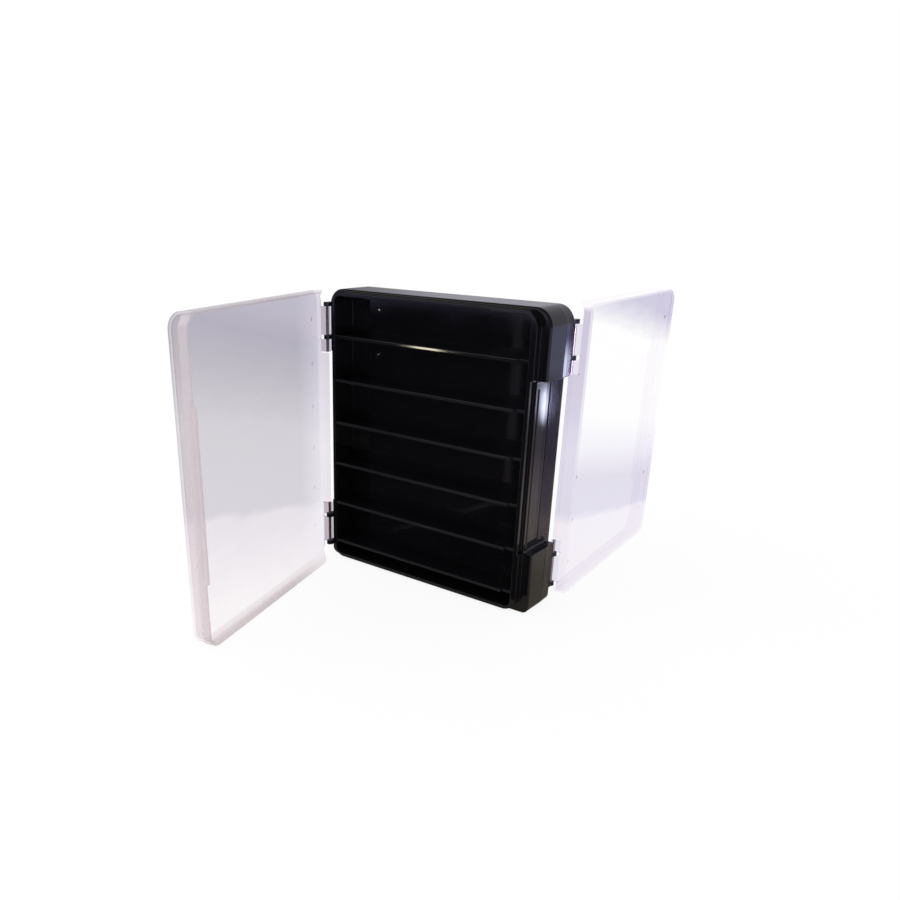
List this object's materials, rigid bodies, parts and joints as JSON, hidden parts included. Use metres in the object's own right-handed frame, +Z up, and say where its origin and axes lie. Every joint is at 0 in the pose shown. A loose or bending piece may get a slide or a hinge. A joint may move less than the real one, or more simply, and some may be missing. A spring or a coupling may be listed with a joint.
{
  "type": "double-sided tackle box",
  "caption": "Double-sided tackle case: black shelved body that stands upright, with a clear hinged lid that latches over the shelves on each side.",
  "frame": {"origin": "middle of the body's bottom face, on the surface that it stands on", "axes": "+Z up along the body's height, -Y towards the front shelves, +X to the right of the front"},
  "size_m": [0.1911, 0.3828, 0.206],
  "materials": {
    "black_plastic": "gloss",
    "clear_plastic": "clear gloss"
  },
  "bodies": {
    "case": {"case_body": "black_plastic", "front_shelf_1": "black_plastic", "front_shelf_2": "black_plastic", "front_shelf_3": "black_plastic", "front_shelf_4": "black_plastic", "front_shelf_5": "black_plastic", "front_shelf_6": "black_plastic", "rear_shelf_1": "black_plastic", "rear_shelf_2": "black_plastic", "rear_shelf_3": "black_plastic", "rear_shelf_4": "black_plastic", "rear_shelf_5": "black_plastic", "rear_shelf_6": "black_plastic", "front_upper_pin": "black_plastic", "front_lower_pin": "black_plastic", "rear_upper_pin": "black_plastic", "rear_lower_pin": "black_plastic"},
    "front_lid": {"front_lid": "clear_plastic"},
    "rear_lid": {"rear_lid": "clear_plastic"}
  },
  "joints": [
    {"name": "front_lid_hinge", "type": "hinge", "parent": "case", "child": "front_lid", "pos_m": [-0.0874, -0.0211, 0.103], "axis": [0, 0, -1], "range_deg": [-76, 89]},
    {"name": "rear_lid_hinge", "type": "hinge", "parent": "case", "child": "rear_lid", "pos_m": [0.0874, 0.0211, 0.103], "axis": [0, 0, -1], "range_deg": [-88, 77]}
  ]
}
